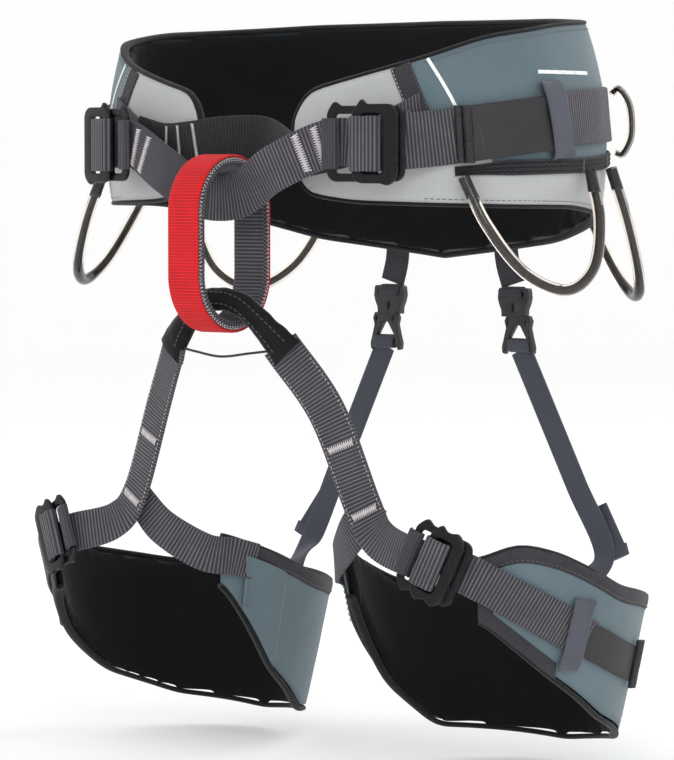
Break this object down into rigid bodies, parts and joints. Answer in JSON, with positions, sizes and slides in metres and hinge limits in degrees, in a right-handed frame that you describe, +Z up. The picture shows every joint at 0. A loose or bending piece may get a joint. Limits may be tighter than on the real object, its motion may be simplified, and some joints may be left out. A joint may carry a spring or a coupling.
{
  "type": "climbing harness",
  "caption": "Sit harness with a padded waist belt, tie-in strap, belay loop, adjustable leg loops, rear risers and stiff gear loops.",
  "frame": {"origin": "centre of the wearer's waist, level with the middle of the waist buckles", "axes": "-Y to the wearer's front, +X to the wearer's left, +Z up"},
  "size_m": [0.4388, 0.2838, 0.461],
  "materials": {
    "padding": "black knitted mesh over foam",
    "side_fabric": "matt blue-grey woven fabric",
    "front_fabric": "matt light grey woven fabric",
    "webbing": "dark grey ribbed webbing",
    "coated_webbing": "smooth charcoal coated webbing",
    "elastic": "slate grey woven elastic",
    "wear_layer": "red webbing",
    "sleeve": "black brushed sleeve with light stitching",
    "cord": "thin black cord",
    "buckle_metal": "black anodised",
    "clip_plastic": "black moulded plastic",
    "loop_tube": "clear tube over a dark core"
  },
  "bodies": {
    "waist": {"accessory_loop_left": "loop_tube", "accessory_loop_right": "loop_tube", "backing_strap": "webbing", "bridge_sleeve": "sleeve", "front_panel_left": "front_fabric", "front_panel_right": "front_fabric", "gear_strip_left": "coated_webbing", "gear_strip_right": "coated_webbing", "riser_clip_female_left": "clip_plastic", "riser_clip_female_right": "clip_plastic", "riser_clip_male_left": "clip_plastic", "riser_clip_male_right": "clip_plastic", "riser_elastic_left": "elastic", "riser_elastic_right": "elastic", "riser_strap_left": "webbing", "riser_strap_right": "webbing", "spacer_cord": "cord", "strap_keeper_left": "elastic", "strap_keeper_right": "elastic", "strap_tail_left": "coated_webbing", "strap_tail_right": "coated_webbing", "tie_in_strap": "webbing", "waist_buckle_frame_left": "buckle_metal", "waist_buckle_frame_right": "buckle_metal", "waist_pad": "padding", "waist_shell": "side_fabric", "waist_webbing": "webbing"},
    "belay_loop": {"belay_core": "webbing", "belay_cover": "wear_layer"},
    "gear_loop_front_left": {"gear_loop_front_left": "loop_tube"},
    "gear_loop_rear_left": {"gear_loop_rear_left": "loop_tube"},
    "waist_slider_left": {"waist_buckle_slider_left": "buckle_metal"},
    "leg_slider_left": {"leg_buckle_slider_left": "buckle_metal"},
    "leg_loop_left": {"leg_adjust_strap_left": "webbing", "leg_branch_strap_left": "webbing", "leg_buckle_frame_left": "buckle_metal", "leg_inner_strap_left": "webbing", "leg_keeper_left": "elastic", "leg_pad_left": "padding", "leg_shell_left": "side_fabric", "leg_strap_stop_left": "coated_webbing"},
    "gear_loop_front_right": {"gear_loop_front_right": "loop_tube"},
    "gear_loop_rear_right": {"gear_loop_rear_right": "loop_tube"},
    "waist_slider_right": {"waist_buckle_slider_right": "buckle_metal"},
    "leg_slider_right": {"leg_buckle_slider_right": "buckle_metal"},
    "leg_loop_right": {"leg_adjust_strap_right": "webbing", "leg_branch_strap_right": "webbing", "leg_buckle_frame_right": "buckle_metal", "leg_inner_strap_right": "webbing", "leg_keeper_right": "elastic", "leg_pad_right": "padding", "leg_shell_right": "side_fabric", "leg_strap_stop_right": "coated_webbing"}
  },
  "joints": [
    {"name": "belay_loop_turn", "type": "hinge", "parent": "waist", "child": "belay_loop", "pos_m": [0, -0.132, -0.06], "axis": [0, 0, 1], "range_deg": [-20, 20]},
    {"name": "gear_loop_front_left_swing", "type": "hinge", "parent": "waist", "child": "gear_loop_front_left", "pos_m": [0.14646, -0.07638, -0.01934], "axis": [-0.3267, -0.9443, -0.0387], "range_deg": [0, 55]},
    {"name": "gear_loop_rear_left_swing", "type": "hinge", "parent": "waist", "child": "gear_loop_rear_left", "pos_m": [0.17155, 0.04476, -0.01334], "axis": [0.7729, -0.6326, -0.0489], "range_deg": [0, 55]},
    {"name": "leg_loop_left_lift", "type": "hinge", "parent": "waist", "child": "leg_loop_left", "pos_m": [0, -0.132, -0.104], "axis": [1, 0, 0], "range_deg": [0, 12], "deforming": ["riser_elastic_left"]},
    {"name": "waist_slider_left_slide", "type": "slide", "parent": "waist", "child": "waist_slider_left", "axis": [0.9551, 0.2963, 0], "range_m": [0, 0.004]},
    {"name": "leg_slider_left_slide", "type": "slide", "parent": "leg_loop_left", "child": "leg_slider_left", "axis": [0.9364, 0.285, -0.2047], "range_m": [0, 0.004]},
    {"name": "gear_loop_front_right_swing", "type": "hinge", "parent": "waist", "child": "gear_loop_front_right", "pos_m": [-0.14646, -0.07638, -0.01934], "axis": [-0.3267, 0.9443, 0.0387], "range_deg": [0, 55]},
    {"name": "gear_loop_rear_right_swing", "type": "hinge", "parent": "waist", "child": "gear_loop_rear_right", "pos_m": [-0.17155, 0.04476, -0.01334], "axis": [0.7729, 0.6326, 0.0489], "range_deg": [0, 55]},
    {"name": "leg_loop_right_lift", "type": "hinge", "parent": "waist", "child": "leg_loop_right", "pos_m": [0, -0.132, -0.104], "axis": [1, 0, 0], "range_deg": [0, 12], "deforming": ["riser_elastic_right"]},
    {"name": "waist_slider_right_slide", "type": "slide", "parent": "waist", "child": "waist_slider_right", "axis": [-0.9551, 0.2963, 0], "range_m": [0, 0.004]},
    {"name": "leg_slider_right_slide", "type": "slide", "parent": "leg_loop_right", "child": "leg_slider_right", "axis": [-0.9364, 0.285, -0.2047], "range_m": [0, 0.004]}
  ]
}
